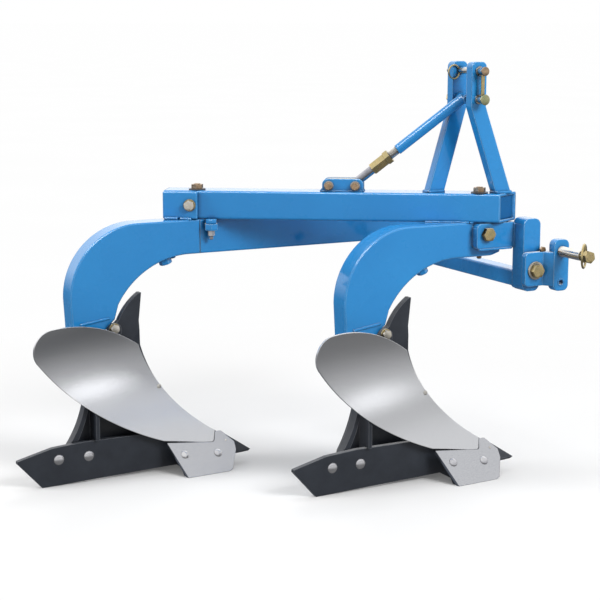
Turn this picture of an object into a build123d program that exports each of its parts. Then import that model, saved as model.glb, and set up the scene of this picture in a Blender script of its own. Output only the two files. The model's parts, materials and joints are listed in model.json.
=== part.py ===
from build123d import *
from math import cos, radians, sin
import os

# Two-furrow mounted mouldboard plough, right hand throwing.
# Millimetres. While modelling, X is the way of travel, Y is to the left, Z is up, and the
# zero is the heel of the rear body on the ground. The export moves the whole to its own
# reference point, the middle of its footprint on the ground.

# ---- layout -------------------------------------------------------------------
body_step_ahead = 612        # front body ahead of the rear one
body_step_right = 395        # front body to the right of the rear one
beam_height = 684            # underside of the main beam, top of both shanks
hitch_middle_y = -120        # middle of the two lower link pins
hitch_spread = 683           # between the shoulders of the two lower link pins

# ---- shanks -------------------------------------------------------------------
shank_thick = 65
shank_near_y = 45            # right hand face of the rear shank
arm_depth = 94
shank_back_radius = 197
shank_back_x = 106           # rearmost line of the rear shank
rear_arm_end = 482
front_arm_end = 588          # from the heel of its own body
arm_slope_long = 30          # cut under the end of the front arm
arm_slope_tall = 10
tenon_thick = 38
shank_foot_z = 372
shank_heel = (203, 400)      # front of the foot, over the frog
shank_crook = (241, 466)     # where the inside curve starts
tenon_foot_z = 330
seam_groove = 3

# ---- beams --------------------------------------------------------------------
beam_width = 80
beam_wall = 7
beam_angle = 33              # to the way of travel
beam_start = (470, 58)       # point on the right hand side face
beam_back = 84               # from that point to the rear end
beam_ahead = 828             # from that point to the near corner of the front end
beam_tall = 78
front_mitre = 30
cap_thick = 6
front_cap_inset = 6
side_plate_long = 95
side_plate_thick = 16
side_plate_inset = 2
rail_wall = 6
rail_end = 1190
cross_deep = 46
cross_tall = 44
cross_wall = 5

# ---- hitch --------------------------------------------------------------------
upright_x = 1228
upright_deep = 54
upright_wide = 50
upright_inset = 20           # outside the right hand face of the arm
upright_above = 10           # over the underside of the beam
upright_tall = 198
upright_round = 18
arm_plate_thick = 25
arm_plate_long = 120
arm_plate_drop = 2           # under the underside of the beam
arm_plate_tall = 70
arm_plate_round = 14
bracket_thick = 16
bracket_back = 1224
bracket_front = 1298
bracket_drop = 80            # top of the plate, under the beam
bracket_tall = 92
lug_back = 1300
lug_front = 1348
lug_thick = 24
lug_drop = 46                # top of the lug, under the beam
lug_tall = 140
link_pin_drop = 32           # under the top of the lug
link_pin_radius = 11
link_pin_reach = 124
link_pin_tail = 14           # behind the lug
spare_hole_radius = 7
spare_hole_drop = 117        # under the top of the lug
clip_radius = 4.5
clip_ring_radius = 31
clip_wire = 2.8
clip_turn = 42
clip_from_end = 27
sleeve_radius = 14
fit_gap = 0.3

# ---- mast ---------------------------------------------------------------------
mast_rear_foot = 652         # along the beam from its start point
mast_front_foot = 832
mast_leg_thick = 26
mast_leg_width = 46
mast_gap = 66                # between the two ears
mast_lean = 8                # of the ears, backwards
mast_ear_round = 14
mast_top_z = 1112
mast_ear_tall = 118          # from the top down to where ears turn into legs
top_pin_drop = 24            # under the top of the mast
brace_pin_drop = 98
mast_pin_radius = 9.5
mast_pin_spare = 26
keeper_radius = 5
ring_pin_radius = 18         # ring through the upper pin
ring_pin_wire = 2.2
ring_pin_turn = 6

# ---- brace --------------------------------------------------------------------
brace_foot = 440             # along the beam from its start point
brace_foot_rise = 16
brace_top_eye = 44
brace_tube_radius = 14
brace_tube_share = 0.62
brace_top_side = -2          # of the tube, from the middle of the ears to the left
brace_top_rise = 9           # of the tube's line, over the pin
brace_low_rise = 7           # of the rod's line, over the clevis pin
brace_rod_radius = 12
brace_eye_radius = 16
brace_eye_thick = 26
stud_radius = 10.5
stud_long = 26
stud_in_tube = 30
coupling_radius = 17.5
coupling_long = 46
lock_nut_radius = 20.5
lock_nut_long = 14
clevis_length = 112
clevis_tall = 35
clevis_thick = 10
clevis_pin_radius = 6

# ---- bodies -------------------------------------------------------------------
board_thick = 6
board_hollow = 450           # radius of the dish, up and down
board_sweep = 1400           # radius of the dish, along the furrow
board_axis_x = 500
board_axis_y = -1347.2
board_widest_z = 330
share_thick = 9
share_turn = 4
share_slope = 52
share_seat = (440, -29, 78)
landside_thick = 14
web_near_y = 40
web_thick = 20
rib_thick = 10
crescent_thick = 12
seat_thick = 14
nose_thick = 14
boss_radius = 20
boss_thick = 12
boss_place = (224, 399)
boss_ahead_of_web = 8
seam = 1.5                   # between mouldboard and share

pieces = {}
beam_dir = Vector(cos(radians(beam_angle)), -sin(radians(beam_angle)), 0)
beam_side = Vector(sin(radians(beam_angle)), cos(radians(beam_angle)), 0)
beam_top = beam_height + beam_tall
arm_low = beam_height - arm_depth
near_arm_y = shank_near_y - body_step_right
lug_low = beam_height - lug_drop - lug_tall
lug_high = beam_height - lug_drop
link_pin_z = lug_high - link_pin_drop
spare_hole_z = lug_high - spare_hole_drop
upright_low = beam_height + upright_above - upright_tall
mast_ear_z = mast_top_z - mast_ear_tall
top_pin_z = mast_top_z - top_pin_drop
brace_pin_z = mast_top_z - brace_pin_drop


def side_view(edges, near_y, thick):
    """Solid with the given outline in X and Z, from near_y towards the left."""
    face = make_face(edges).face()
    return extrude(Pos(0, near_y, 0) * face, amount=thick, dir=(0, 1, 0))


def upright_plane_points(points):
    return [Vector(x, 0, z) for x, z in points]


def outline(points):
    """Closed straight-sided outline in X and Z."""
    return Polyline(*upright_plane_points(points), close=True).edges()


def rod(start, end, radius):
    start = Vector(*start)
    end = Vector(*end)
    along = end - start
    return Plane(origin=start, z_dir=along) * Cylinder(
        radius, along.length, align=(Align.CENTER, Align.CENTER, Align.MIN))


def bar_box(x, y, z):
    """Box between two values on each axis."""
    return Pos(x[0], y[0], z[0]) * Box(
        x[1] - x[0], y[1] - y[0], z[1] - z[0], align=(Align.MIN, Align.MIN, Align.MIN))


def hex_bar(start, end, radius):
    start = Vector(*start)
    end = Vector(*end)
    along = end - start
    return extrude(Plane(origin=start, z_dir=along) * RegularPolygon(radius, 6), amount=along.length)


def mirrored(solid):
    """The same piece on the other side of the hitch."""
    return mirror(solid, about=Plane(origin=(0, hitch_middle_y, 0), z_dir=(0, 1, 0)))


# ---- frame ----------------------------------------------------------------------
def shank(arm_end):
    back_x = shank_back_x + shank_back_radius
    back_z = beam_height - shank_back_radius
    lead = sin(radians(45)) * shank_back_radius
    arm_start = 450
    run = arm_start - shank_crook[0]
    rise = arm_low - shank_crook[1]
    crook_radius = (run ** 2 + rise ** 2) / (2 * rise)
    half_run = 0.62 * run
    half_z = arm_low - crook_radius + (crook_radius ** 2 - half_run ** 2) ** 0.5
    edges = [
        Line((arm_end, 0, beam_height), (back_x, 0, beam_height)),
        ThreePointArc((back_x, 0, beam_height), (back_x - lead, 0, back_z + lead), (shank_back_x, 0, back_z)),
        Line((shank_back_x, 0, back_z), (shank_back_x + 6, 0, shank_foot_z)),
        Line((shank_back_x + 6, 0, shank_foot_z), (shank_heel[0], 0, shank_heel[1])),
        Line((shank_heel[0], 0, shank_heel[1]), (shank_heel[0] + 27, 0, shank_heel[1] + 27)),
        Line((shank_heel[0] + 27, 0, shank_heel[1] + 27), (shank_crook[0], 0, shank_crook[1])),
        ThreePointArc((shank_crook[0], 0, shank_crook[1]), (arm_start - half_run, 0, half_z), (arm_start, 0, arm_low)),
        Line((arm_start, 0, arm_low), (arm_end, 0, arm_low)),
        Line((arm_end, 0, arm_low), (arm_end, 0, beam_height)),
    ]
    blade = side_view(edges, shank_near_y, shank_thick)
    rims = [e for e in blade.edges() if abs(e.center().Y - shank_near_y) < 1 or
            abs(e.center().Y - shank_near_y - shank_thick) < 1]
    blade = chamfer(rims, seam_groove)
    tenon_y = web_near_y + web_thick + fit_gap
    tenon = side_view(outline([
        (shank_back_x + 14, shank_heel[1] + 10), (shank_heel[0], shank_heel[1] + 10),
        (shank_heel[0], tenon_foot_z), (shank_back_x + 14, tenon_foot_z)]), tenon_y, tenon_thick)
    return blade + tenon


def main_beam():
    start = Vector(*beam_start, beam_height)
    frame = Plane(origin=start, x_dir=beam_dir, z_dir=(0, 0, 1))
    long_side = beam_ahead + beam_width * sin(radians(front_mitre)) / cos(radians(front_mitre))
    outer = make_face(Polyline((-beam_back, 0), (beam_ahead, 0), (long_side, beam_width),
                               (-beam_back, beam_width), close=True))
    body = extrude(frame * outer, amount=beam_tall)
    hollow = frame * Pos(beam_ahead / 2, beam_width / 2, beam_tall / 2) * Box(
        3 * beam_ahead, beam_width - 2 * beam_wall, beam_tall - 2 * beam_wall)
    edges = body.edges().filter_by(Axis((0, 0, 0), beam_dir))
    body = fillet(edges, 6)
    pieces["main_beam"] = body - hollow
    inside = extrude(frame * outer, amount=beam_tall) & hollow
    rear_cap = inside & (frame * Pos(-beam_back, 0, 0) * Box(
        2 * cap_thick, 3 * beam_width, 3 * beam_tall))
    cap_face = beam_ahead - front_cap_inset
    far_face = long_side - front_cap_inset
    tip = make_face(Polyline((cap_face - cap_thick, 0), (cap_face, 0), (far_face, beam_width),
                             (far_face - cap_thick, beam_width), close=True))
    front_cap = inside & extrude(frame * tip, amount=beam_tall)
    pieces["main_beam_rear_cap"] = rear_cap
    pieces["main_beam_front_cap"] = front_cap
    # plate on the right hand side of the beam, over the rear shank
    plate = Pos(-beam_back + side_plate_long / 2, -side_plate_thick / 2, beam_tall / 2) * Box(
        side_plate_long, side_plate_thick, beam_tall - 2 * side_plate_inset)
    plate = frame * chamfer(plate.edges(), 2)
    pieces["rear_side_plate"] = plate


def rails():
    far = shank_near_y + shank_thick
    tube = bar_box((rear_arm_end, rail_end), (shank_near_y, far), (arm_low, beam_height))
    tube = fillet(tube.edges().filter_by(Axis.X), 4)
    bore = bar_box((rear_arm_end - 1, rail_end - rail_wall), (shank_near_y + rail_wall, far - rail_wall),
                   (arm_low + rail_wall, beam_height - rail_wall))
    pieces["left_rail"] = tube - bore
    near = near_arm_y - upright_inset
    middle_x = upright_x + upright_deep / 2
    cross = bar_box((middle_x - cross_deep / 2, middle_x + cross_deep / 2),
                    (near, 2 * hitch_middle_y - near), (upright_low + 8, upright_low + 8 + cross_tall))
    core = bar_box((middle_x - cross_deep / 2 + cross_wall, middle_x + cross_deep / 2 - cross_wall),
                   (near - 1, 2 * hitch_middle_y - near + 1),
                   (upright_low + 8 + cross_wall, upright_low + 8 + cross_tall - cross_wall))
    cross = fillet(cross.edges().filter_by(Axis.Y), 4)
    pieces["lower_cross_bar"] = cross - core


def hitch_side():
    """Right hand set; the left hand set is its mirror image."""
    inner_y = near_arm_y - upright_inset
    outer_y = inner_y - upright_wide
    post = bar_box((upright_x, upright_x + upright_deep), (outer_y, inner_y),
                   (upright_low, upright_low + upright_tall))
    post = fillet(post.edges().filter_by(Axis.Y), upright_round)
    plate_top = beam_height - arm_plate_drop
    plate = bar_box((upright_x - arm_plate_long, upright_x), (near_arm_y - arm_plate_thick, near_arm_y),
                    (plate_top - arm_plate_tall, plate_top))
    ends = [e for e in plate.edges().filter_by(Axis.Y) if e.center().X < upright_x - arm_plate_long + 1]
    plate = fillet(ends, arm_plate_round)
    shoulder_y = hitch_middle_y - hitch_spread / 2
    bracket_low = beam_height - bracket_drop - bracket_tall
    base = bar_box((bracket_back, bracket_front), (outer_y - bracket_thick, outer_y),
                   (bracket_low, bracket_low + bracket_tall))
    base = fillet([e for e in base.edges().filter_by(Axis.Y) if e.center().X < bracket_back + 1], 12)
    lug = bar_box((lug_back, lug_front), (shoulder_y, shoulder_y + lug_thick), (lug_low, lug_high))
    lug = fillet(lug.edges().filter_by(Axis.Y), 16)
    step = make_face(Polyline((bracket_front - 16, outer_y - bracket_thick), (bracket_front, outer_y),
                              (bracket_front + 2, outer_y), (lug_back + 10, shoulder_y + lug_thick),
                              (lug_back, shoulder_y + lug_thick), (lug_back, shoulder_y + 2), close=True))
    step = extrude(Pos(0, 0, bracket_low) * step, amount=bracket_tall)
    bracket = base + lug + step
    pin_x = (lug_back + lug_front) / 2
    tail_y = shoulder_y + lug_thick + link_pin_tail
    hole = rod((pin_x, shoulder_y - 5, link_pin_z), (pin_x, tail_y + 1, link_pin_z), link_pin_radius)
    spare = rod((pin_x, shoulder_y - 5, spare_hole_z), (pin_x, shoulder_y + 40, spare_hole_z), spare_hole_radius)
    bracket = bracket - hole - spare
    end_y = shoulder_y - link_pin_reach
    pin = rod((pin_x, tail_y, link_pin_z), (pin_x, end_y, link_pin_z), link_pin_radius)
    tips = [e for e in pin.edges() if abs(e.center().Y - end_y) < 0.1]
    pin = chamfer(tips, 2.5)
    clip_y = end_y + clip_from_end
    peg_low = link_pin_z - link_pin_radius - 6
    peg_high = link_pin_z + clip_ring_radius
    cross_hole = rod((pin_x, clip_y, peg_low - 20), (pin_x, clip_y, peg_high + 20), clip_radius + fit_gap)
    pin = pin - cross_hole
    sleeve_end = clip_y + clip_radius + clip_wire
    sleeve = rod((pin_x, shoulder_y, link_pin_z), (pin_x, sleeve_end, link_pin_z), sleeve_radius)
    sleeve = chamfer(sleeve.edges(), 1)
    sleeve = sleeve - rod((pin_x, shoulder_y + 1, link_pin_z), (pin_x, sleeve_end - 1, link_pin_z),
                          link_pin_radius + fit_gap)
    clip = rod((pin_x, clip_y, peg_low), (pin_x, clip_y, peg_high), clip_radius)
    ring = Pos(pin_x, clip_y, link_pin_z) * Rot(0, 0, clip_turn) * Rot(90, 0, 0) * Torus(clip_ring_radius, clip_wire)
    ring = ring - sleeve
    clip = clip + ring
    for name, solid in (("upright", post), ("arm_plate", plate), ("link_bracket", bracket),
                        ("link_pin", pin), ("link_sleeve", sleeve), ("linch_pin", clip)):
        pieces["right_" + name] = solid
        pieces["left_" + name] = mirrored(solid)


# ---- mast and brace ---------------------------------------------------------------
def along_beam(distance, z):
    spot = Vector(*beam_start, z) + beam_dir * distance + beam_side * (beam_width / 2)
    return spot


def mast():
    middle = (along_beam(mast_rear_foot, 0) + along_beam(mast_front_foot, 0)) * 0.5 - Vector(mast_lean, 0, 0)
    half = mast_leg_width / 2
    for name, foot_at, side in (("mast_rear_leg", mast_rear_foot, 1), ("mast_front_leg", mast_front_foot, -1)):
        foot = along_beam(foot_at, beam_top)
        ear_y = middle.Y + side * (mast_gap + mast_leg_thick) / 2
        ear = bar_box((middle.X - half, middle.X + half), (ear_y - mast_leg_thick / 2, ear_y + mast_leg_thick / 2),
                      (mast_ear_z, mast_top_z))
        tops = [e for e in ear.edges().filter_by(Axis.Y) if e.center().Z > mast_top_z - 1]
        ear = fillet(tops, mast_ear_round)
        low = Pos(foot.X, foot.Y, beam_top) * Rectangle(mast_leg_width + 2, mast_leg_thick)
        high = Pos(middle.X, ear_y, mast_ear_z) * Rectangle(mast_leg_width, mast_leg_thick)
        leg = loft([low.face(), high.face()], ruled=True)
        solid = ear + leg
        for pin_z in (top_pin_z, brace_pin_z):
            solid = solid - rod((middle.X, ear_y - 30, pin_z), (middle.X, ear_y + 30, pin_z), mast_pin_radius)
        pieces[name] = solid
    reach = mast_gap / 2 + mast_leg_thick + mast_pin_spare
    for name, pin_z in (("top_link_pin", top_pin_z), ("brace_pin", brace_pin_z)):
        pieces[name] = rod((middle.X, middle.Y + reach, pin_z), (middle.X, middle.Y - reach, pin_z), mast_pin_radius)
    keeper_y = middle.Y - reach + 9
    pieces["pin_keeper"] = rod((middle.X, keeper_y, brace_pin_z + mast_pin_radius),
                               (middle.X, keeper_y, top_pin_z - mast_pin_radius), keeper_radius)
    ring_y = middle.Y + mast_gap / 2 - 2.5 * ring_pin_wire
    ring_place = Pos(middle.X - ring_pin_radius - 5, ring_y, top_pin_z - 4) * Rot(0, 0, ring_pin_turn) * Rot(90, 0, 0)
    pieces["top_linch_pin"] = ring_place * Torus(ring_pin_radius, ring_pin_wire)
    pieces["top_link_pin"] = pieces["top_link_pin"] - ring_place * Torus(ring_pin_radius, ring_pin_wire + fit_gap)
    brace(middle)


def brace(middle):
    low = along_beam(brace_foot, beam_top + brace_foot_rise)
    pin_spot = Vector(middle.X, middle.Y, brace_pin_z)
    start = low + Vector(0, 0, brace_low_rise)
    high = pin_spot + Vector(0, brace_top_side, brace_top_rise)
    line = high - start
    unit = line.normalized()
    length = line.length
    tube_start = start + unit * (length * (1 - brace_tube_share))
    tube = rod(tube_start, (high - unit * (mast_pin_radius + 2)), brace_tube_radius)
    eye_spot = pin_spot + Vector(0, (mast_gap - brace_top_eye) / 2 - fit_gap, 0)
    top_eye = Plane(origin=eye_spot, z_dir=(0, 1, 0)) * Cylinder(mast_pin_radius + 5.5, brace_top_eye)
    tube = tube + top_eye
    tube = tube - Plane(origin=pin_spot, z_dir=(0, 1, 0)) * Cylinder(mast_pin_radius, 3 * mast_gap)
    tube = tube - rod((tube_start - unit), (tube_start + unit * stud_in_tube), stud_radius)
    nut_end = tube_start - unit * stud_long
    nut_start = nut_end - unit * lock_nut_long
    coupling_start = nut_start - unit * coupling_long
    meeting = nut_start - unit * (coupling_long / 2)
    pieces["brace_tube"] = tube
    pieces["brace_stud"] = rod(meeting, (tube_start + unit * stud_in_tube), stud_radius)
    bolt = rod((start + unit * 8), meeting, brace_rod_radius)
    eye = Plane(origin=low, z_dir=beam_side) * Cylinder(brace_eye_radius, brace_eye_thick)
    bolt = bolt + eye - Plane(origin=low, z_dir=beam_side) * Cylinder(clevis_pin_radius, 60)
    pieces["brace_rod"] = bolt
    nut = hex_bar(nut_start, nut_end, lock_nut_radius)
    pieces["brace_lock_nut"] = nut - rod((nut_start - unit), (nut_end + unit), stud_radius)
    sleeve = hex_bar(coupling_start, nut_start, coupling_radius)
    sleeve = sleeve - rod((coupling_start - unit), meeting, brace_rod_radius)
    pieces["brace_coupling"] = sleeve - rod(meeting, (nut_start + unit), stud_radius)
    clevis(low)


def clevis(low):
    frame = Plane(origin=Vector(low.X, low.Y, beam_top), x_dir=beam_dir, z_dir=(0, 0, 1))
    behind = clevis_length - 22
    apart = 72
    for name, side in (("clevis_right_plate", -1), ("clevis_left_plate", 1)):
        y = side * (brace_eye_thick / 2 + clevis_thick / 2 + fit_gap)
        plate = Pos(22 - clevis_length / 2, y, clevis_tall / 2) * Box(clevis_length, clevis_thick, clevis_tall)
        tops = [e for e in plate.edges().filter_by(Axis.Y) if e.center().Z > clevis_tall - 1]
        plate = fillet(tops, clevis_tall * 0.45)
        for x in (0, -apart):
            plate = plate - Pos(x, y, brace_foot_rise) * Rot(90, 0, 0) * Cylinder(clevis_pin_radius, 40)
        pieces[name] = frame * plate
    wide = brace_eye_thick / 2 + clevis_thick + 8
    for name, x in (("clevis_front_pin", 0), ("clevis_rear_pin", -apart)):
        pieces[name] = frame * (Pos(x, 0, brace_foot_rise) * Rot(90, 0, 0) * Cylinder(clevis_pin_radius, 2 * wide))


# ---- bodies -------------------------------------------------------------------------
def dish(offset, grow):
    """Solid of the dish, from its working face offset back by offset, grow thick."""
    centre = board_sweep - board_hollow
    inner = board_hollow + offset
    outer = inner + grow
    top = radians(40)
    low = radians(-58)

    def at(r, t):
        return (centre + r * cos(t), 0, board_widest_z + r * sin(t))

    edges = [
        ThreePointArc(at(inner, low), at(inner, (low + top) / 2), at(inner, top)),
        Line(at(inner, top), at(outer, top)),
        ThreePointArc(at(outer, top), at(outer, (low + top) / 2), at(outer, low)),
        Line(at(outer, low), at(inner, low)),
    ]
    band = Rot(0, 0, 60) * make_face(edges)
    turned = revolve(band, axis=Axis.Z, revolution_arc=60)
    return Pos(board_axis_x, board_axis_y, 0) * turned


def moldboard():
    edges = [
        ThreePointArc((-12, 0, 340), (-27, 0, 388), (20, 0, 432)),
        ThreePointArc((20, 0, 432), (150, 0, 421), (292, 0, 354)),
        ThreePointArc((292, 0, 354), (370, 0, 212), (500, 0, 97)),
        Line((500, 0, 97), (488, 0, 70)),
        Line((488, 0, 70), (338, 0, 92)),
        ThreePointArc((338, 0, 92), (125, 0, 206), (-12, 0, 340)),
    ]
    prism = side_view(edges, -400, 800)
    above_share = extrude(share_plane.offset(90) * offset(share_face(), seam), amount=-180)
    return (dish(0, board_thick) & prism) - above_share


share_plane = Plane(
    origin=share_seat, x_dir=(cos(radians(share_turn)), sin(radians(share_turn)), 0),
    z_dir=(sin(radians(share_turn)) * sin(radians(share_slope)),
           -cos(radians(share_turn)) * sin(radians(share_slope)), cos(radians(share_slope))))


def share_face():
    low = -(share_seat[2] / sin(radians(share_slope))) + 0.5
    return make_face(Polyline((-95, 11), (40, -6), (46, -2), (56, 24), (74, 24), (104, -14), (102, -38),
                              (74, low + 6), (62, low), (-64, low), close=True))


def share():
    plate = extrude(share_plane * share_face(), amount=-share_thick)
    floor = bar_box((0, 900), (-400, 200), (-50, 0))
    return plate - floor


def nose():
    face = make_face(Polyline((30, -10), (60, 27), (76, 27), (150, -40), (101, -42), (60, -60), close=True))
    back = share_plane.offset(-share_thick - fit_gap)
    return extrude(back * face, amount=-nose_thick)


def landside():
    return side_view(outline([(-65, 81), (-66, 74), (0, 0), (392, 14), (392, 98),
                              (287, 112), (120, 112), (30, 105)]), 0, landside_thick)


def frog():
    web = side_view([
        Line((92, 0, 100), (92, 0, 60)), Line((92, 0, 60), (330, 0, 0)), Line((330, 0, 0), (520, 0, 0)),
        Line((520, 0, 0), (545, 0, 40)), Line((545, 0, 40), (500, 0, 90)),
        ThreePointArc((500, 0, 90), (372, 0, 208), (300, 0, 352)),
        Line((300, 0, 352), (296, 0, 420)),
        Line((296, 0, 420), (304, 0, 496)), Line((304, 0, 496), (298, 0, 496)),
        ThreePointArc((298, 0, 496), (258, 0, 458), (238, 0, 424)),
        Line((238, 0, 424), (206, 0, 395)), Line((206, 0, 395), (141, 0, 360)),
        ThreePointArc((141, 0, 360), (126, 0, 175), (92, 0, 100))], web_near_y, web_thick)
    boss_y = web_near_y - boss_ahead_of_web
    boss = rod((boss_place[0], boss_y, boss_place[1]), (boss_place[0], boss_y + boss_thick, boss_place[1]), boss_radius)
    reach = web_near_y + 1
    crescent = side_view([
        ThreePointArc((80, 0, 100), (116, 0, 170), (130, 0, 330)), Line((130, 0, 330), (130 + crescent_thick, 0, 330)),
        ThreePointArc((130 + crescent_thick, 0, 330), (116 + crescent_thick, 0, 166), (80 + 1.6 * crescent_thick, 0, 100)),
        Line((80 + 1.6 * crescent_thick, 0, 100), (80, 0, 100))], landside_thick - 2, reach + 2 - landside_thick)
    rib = bar_box((150, 150 + rib_thick), (landside_thick - 24, reach), (100, 320))
    front_rib = bar_box((330, 330 + rib_thick), (landside_thick - 60, reach), (100, 250))
    base = bar_box((95, 470), (landside_thick, reach), (62, 84))
    seat = extrude(share_plane.offset(-share_thick - fit_gap) * Pos(-20, -50) * Rectangle(88, 88),
                   amount=-seat_thick)
    gussets = [bar_box((x, x + rib_thick), (-90, reach), (2, 84)) for x in (398, 446)]
    behind_share = share_plane.offset(-share_thick - fit_gap) * Pos(0, 0, 200) * Box(1200, 1200, 400)
    cut = dish(-260, 260 + board_thick + fit_gap)
    above_landside = bar_box((-100, 392), (-200, landside_thick), (-5, 113))
    upper = (crescent + rib + front_rib) - cut - above_landside
    lower = (seat + gussets[0] + gussets[1]) - behind_share
    floor = bar_box((0, 900), (-400, 200), (-50, 0))
    return (web - cut) + boss + upper + base + (lower - floor)


def bodies():
    shapes = {
        "moldboard": moldboard(), "share": share(), "nose_point": nose(),
        "landside": landside(), "frog": frog(),
    }
    for name, ahead, right in (("rear", 0, 0), ("front", body_step_ahead, body_step_right)):
        place = Pos(ahead, -right, 0)
        for part_name, solid in shapes.items():
            pieces[name + "_" + part_name] = place * solid
    pieces["rear_shank"] = shank(rear_arm_end)
    slope = side_view(outline([
        (front_arm_end - arm_slope_long, arm_low), (front_arm_end, arm_low + arm_slope_tall),
        (front_arm_end + 5, arm_low + arm_slope_tall), (front_arm_end + 5, arm_low - 5),
        (front_arm_end - arm_slope_long, arm_low - 5)]), shank_near_y - 1, shank_thick + 2)
    front = shank(front_arm_end) - slope
    pieces["front_shank"] = Pos(body_step_ahead, -body_step_right, 0) * front


def export_all():
    lows = [pieces[n].bounding_box() for n in pieces]
    min_x = min(b.min.X for b in lows)
    max_x = max(b.max.X for b in lows)
    min_y = min(b.min.Y for b in lows)
    max_y = max(b.max.Y for b in lows)
    min_z = min(b.min.Z for b in lows)
    place = Pos(-(min_x + max_x) / 2, -(min_y + max_y) / 2, -min_z)
    os.makedirs("parts", exist_ok=True)
    print("reference point is", (min_x + max_x) / 2, (min_y + max_y) / 2, min_z)
    print("size", max_x - min_x, max_y - min_y, max(b.max.Z for b in lows) - min_z)
    for name, solid in pieces.items():
        export_step(place * solid, "parts/" + name + ".step")


main_beam()
rails()
hitch_side()
mast()
bodies()
export_all()
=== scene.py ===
import bpy
import bmesh
import json
import math
from mathutils import Matrix, Vector


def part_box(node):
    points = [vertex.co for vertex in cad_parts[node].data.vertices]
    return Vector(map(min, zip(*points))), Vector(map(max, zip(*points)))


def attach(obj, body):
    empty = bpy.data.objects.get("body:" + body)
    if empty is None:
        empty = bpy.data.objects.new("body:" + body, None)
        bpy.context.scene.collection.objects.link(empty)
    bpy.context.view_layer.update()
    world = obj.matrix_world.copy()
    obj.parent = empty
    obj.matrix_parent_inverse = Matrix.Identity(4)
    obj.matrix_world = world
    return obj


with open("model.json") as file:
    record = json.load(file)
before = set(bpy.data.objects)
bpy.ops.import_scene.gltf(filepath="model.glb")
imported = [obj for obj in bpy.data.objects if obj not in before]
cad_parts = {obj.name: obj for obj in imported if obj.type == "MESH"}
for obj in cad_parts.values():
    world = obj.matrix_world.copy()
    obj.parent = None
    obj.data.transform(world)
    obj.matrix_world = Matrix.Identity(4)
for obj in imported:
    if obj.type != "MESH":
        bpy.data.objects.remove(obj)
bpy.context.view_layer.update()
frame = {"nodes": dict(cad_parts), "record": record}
nodes = frame["nodes"]
print("stage: frame loaded")


# helpers for node trees
def newGroup(name, inputs, outputs):
    # an input without a value is a vector, the others are numbers
    tree = bpy.data.node_groups.new(name, "ShaderNodeTree")
    for label, value in inputs.items():
        kind = "NodeSocketVector" if value is None else "NodeSocketFloat"
        sock = tree.interface.new_socket(label, in_out="INPUT", socket_type=kind)
        if value is not None:
            sock.default_value = value
    for label, kind in outputs.items():
        tree.interface.new_socket(label, in_out="OUTPUT", socket_type="NodeSocket" + kind)
    return tree, tree.nodes.new("NodeGroupInput"), tree.nodes.new("NodeGroupOutput")


def addNode(tree, kind, **values):
    node = tree.nodes.new(kind)
    for key, value in values.items():
        setattr(node, key, value)
    return node


def mathNode(tree, operation, first, second, clamp=False):
    node = addNode(tree, "ShaderNodeMath", operation=operation, use_clamp=clamp)
    for index, value in enumerate((first, second)):
        if isinstance(value, (int, float)):
            node.inputs[index].default_value = value
        else:
            tree.links.new(value, node.inputs[index])
    return node.outputs[0]


def noiseNode(tree, vector, scale, detail, rough):
    node = addNode(tree, "ShaderNodeTexNoise")
    node.inputs["Detail"].default_value = detail
    node.inputs["Roughness"].default_value = rough
    if isinstance(scale, (int, float)):
        node.inputs["Scale"].default_value = scale
    else:
        tree.links.new(scale, node.inputs["Scale"])
    tree.links.new(vector, node.inputs["Vector"])
    return node.outputs["Fac"]


def rangeNode(tree, value, low, high, toLow=0.0, toHigh=1.0):
    node = addNode(tree, "ShaderNodeMapRange", clamp=True)
    numbers = {"From Min": low, "From Max": high, "To Min": toLow, "To Max": toHigh}
    for label, number in numbers.items():
        node.inputs[label].default_value = number
    tree.links.new(value, node.inputs["Value"])
    return node.outputs["Result"]


def cloudNode(tree, vector, scale, detail, rough, low=0.3, high=0.7, toLow=0.0, toHigh=1.0):
    return rangeNode(tree, noiseNode(tree, vector, scale, detail, rough), low, high, toLow, toHigh)


def smearNode(tree, vector, look, detail, rough):
    lows, highs = look["roughLow"], look["roughHigh"]
    return cloudNode(tree, vector, look["smears"], detail, rough, toLow=lows, toHigh=highs)


def mixColor(tree, factor, first, second):
    node = addNode(tree, "ShaderNodeMix", data_type="RGBA", blend_type="MIX")
    for index, value in ((0, factor), (6, first), (7, second)):
        if isinstance(value, (int, float)):
            node.inputs[index].default_value = value
        elif isinstance(value, (tuple, list)):
            node.inputs[index].default_value = (*value, 1.0)
        else:
            tree.links.new(value, node.inputs[index])
    return node.outputs[2]


# effects that several finishes share
bevelSamples = 10
# reach of the ambient occlusion behind the painted seam shade
seamShadeReach = 0.018
bumpDistance = 0.0005


# edge wear and painted edge highlight: strong where the rounded edge turns away from the face, broken up in
# patches
def makeEdgeWearAndHighlight():
    inputs = {"Vector": None, "Radius": 0.003, "Break Up": 60.0}
    tree, source, out = newGroup("edgeWearAndHighlight", inputs, {"Mask": "Float"})
    bevel = addNode(tree, "ShaderNodeBevel", samples=bevelSamples)
    tree.links.new(source.outputs["Radius"], bevel.inputs["Radius"])
    geometry = addNode(tree, "ShaderNodeNewGeometry")
    dot = addNode(tree, "ShaderNodeVectorMath", operation="DOT_PRODUCT")
    tree.links.new(bevel.outputs[0], dot.inputs[0])
    tree.links.new(geometry.outputs["Normal"], dot.inputs[1])
    away = mathNode(tree, "SUBTRACT", 1.0, dot.outputs["Value"])
    edge = rangeNode(tree, away, 0.015, 0.16)
    breakUp = source.outputs["Break Up"]
    patchy = cloudNode(tree, source.outputs["Vector"], breakUp, 4.0, 0.6, 0.30, 0.50, 0.45, 1.0)
    tree.links.new(mathNode(tree, "MULTIPLY", edge, patchy, True), out.inputs["Mask"])
    return tree


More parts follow.
